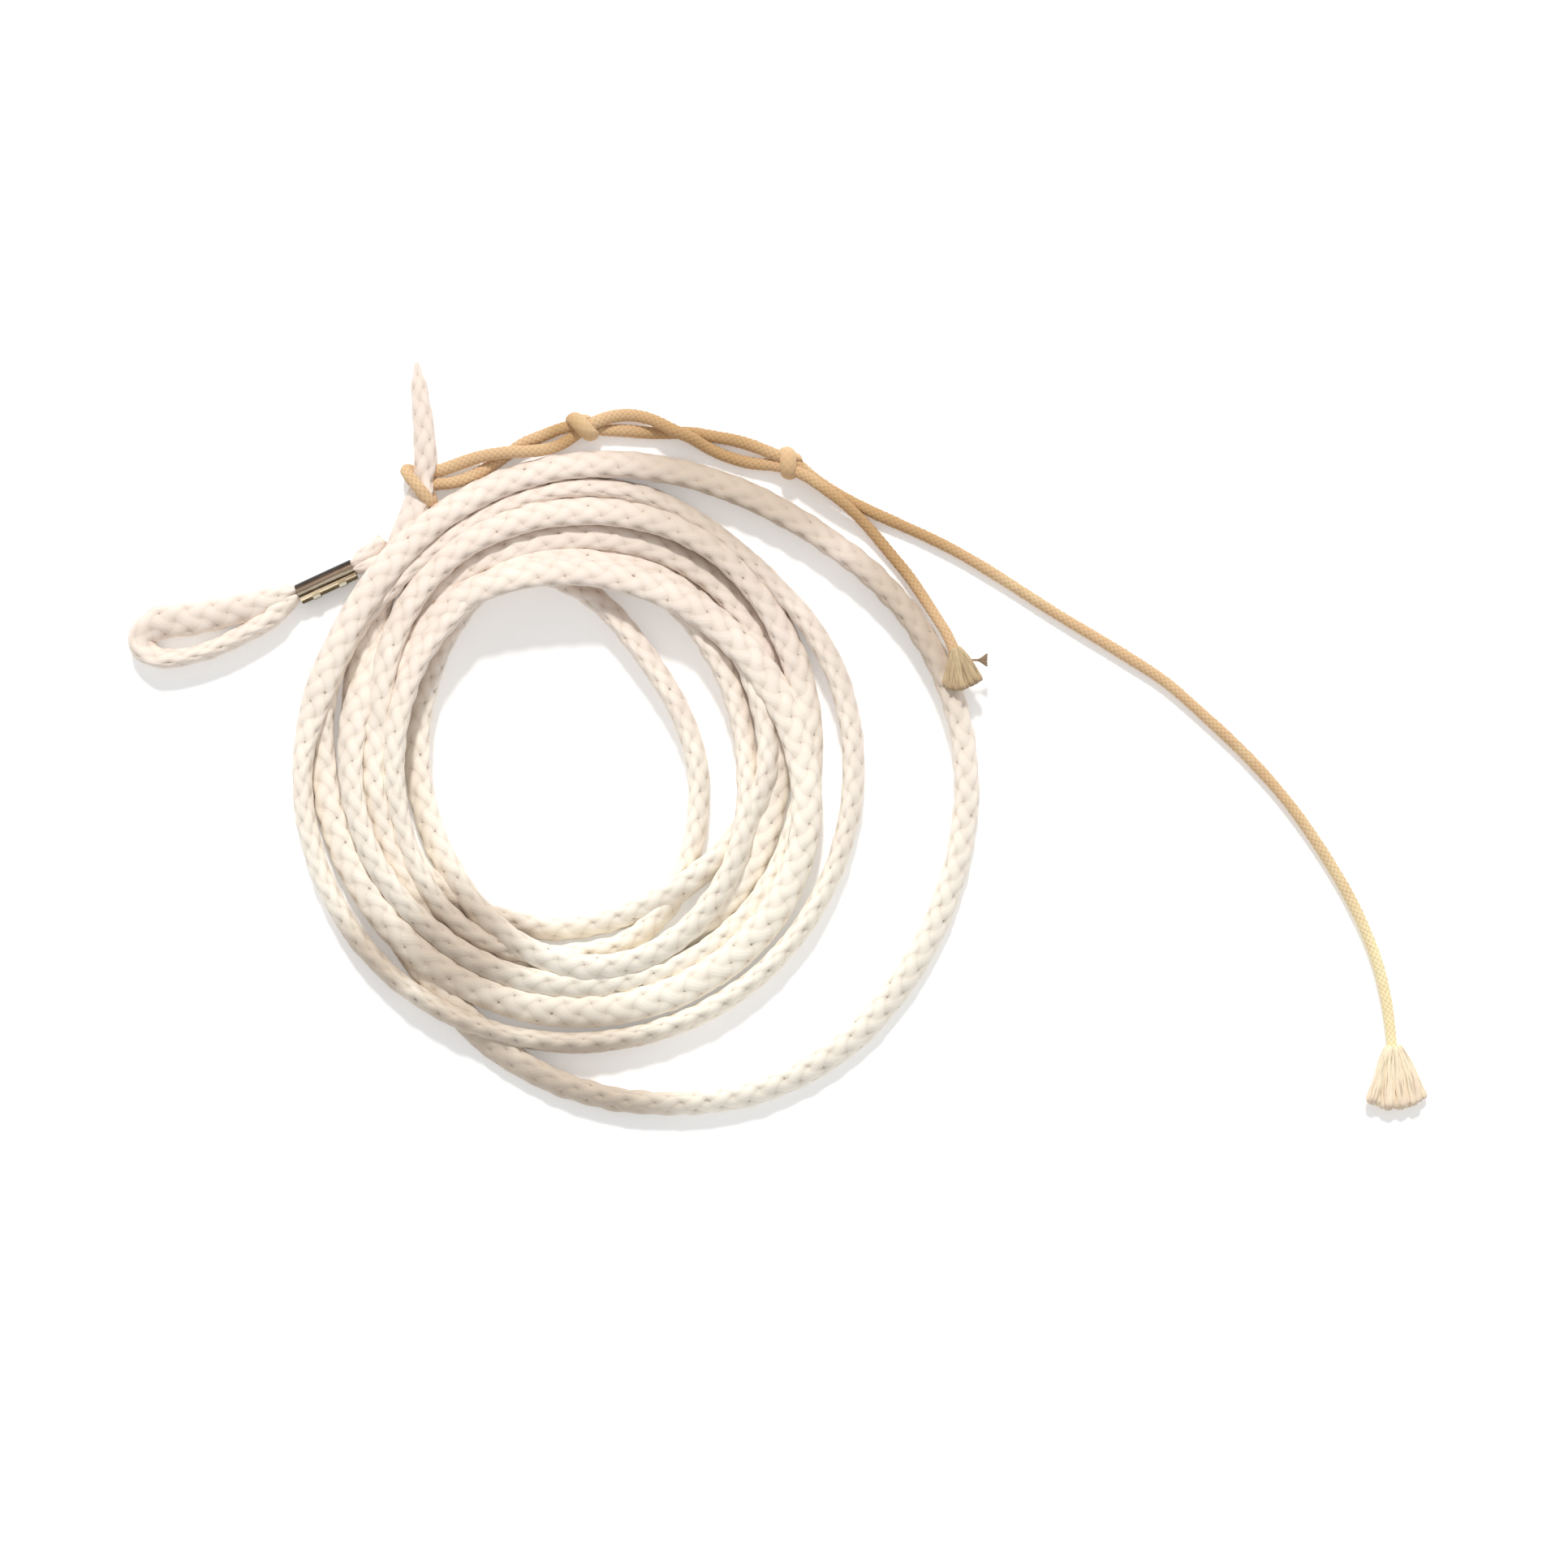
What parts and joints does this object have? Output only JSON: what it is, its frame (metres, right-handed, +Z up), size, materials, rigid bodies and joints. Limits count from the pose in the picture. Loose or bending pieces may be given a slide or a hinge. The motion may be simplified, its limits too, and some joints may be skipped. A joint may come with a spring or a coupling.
{
  "type": "coiled dock line",
  "caption": "Soft braided line coiled flat, with a small crimped eye at one end, a pointed tip at the other, and a thin tasselled cord hitched to its tail",
  "frame": {"origin": "centre of the coil, on the surface that it lies on", "axes": "+Z up out of the coil; +X along the object's longest reach, towards the long cord tail's tassel; +Y towards the line's pointed tip"},
  "size_m": [0.3017, 0.1762, 0.0125],
  "materials": {
    "rope": "soft white hollow braid",
    "ferrule": "rolled sheet with a dull warm plating",
    "lashing_cord": "tan cotton cord, fine tight braid",
    "frayed_yarn": "combed-out pale yarn"
  },
  "bodies": {
    "root": {"rope_coil": "rope", "rope_outer_turn": "rope", "rope_second_turn": "rope", "rope_inner_turn": "rope", "rope_tail": "rope", "rope_tip": "rope", "rope_eye": "rope", "rope_crimped_strands": "rope", "rope_standing_part": "rope", "rope_end_stub": "rope", "crimp_ferrule": "ferrule", "lashing_hitch": "lashing_cord", "lashing_upper_leg": "lashing_cord", "lashing_lower_leg": "lashing_cord", "lashing_knot_near": "lashing_cord", "lashing_upper_span": "lashing_cord", "lashing_lower_span": "lashing_cord", "lashing_knot_far": "lashing_cord", "lashing_short_tail": "lashing_cord", "lashing_long_tail": "lashing_cord", "cord_core_strand": "lashing_cord", "short_tassel": "frayed_yarn", "long_tassel": "frayed_yarn"}
  },
  "joints": []
}
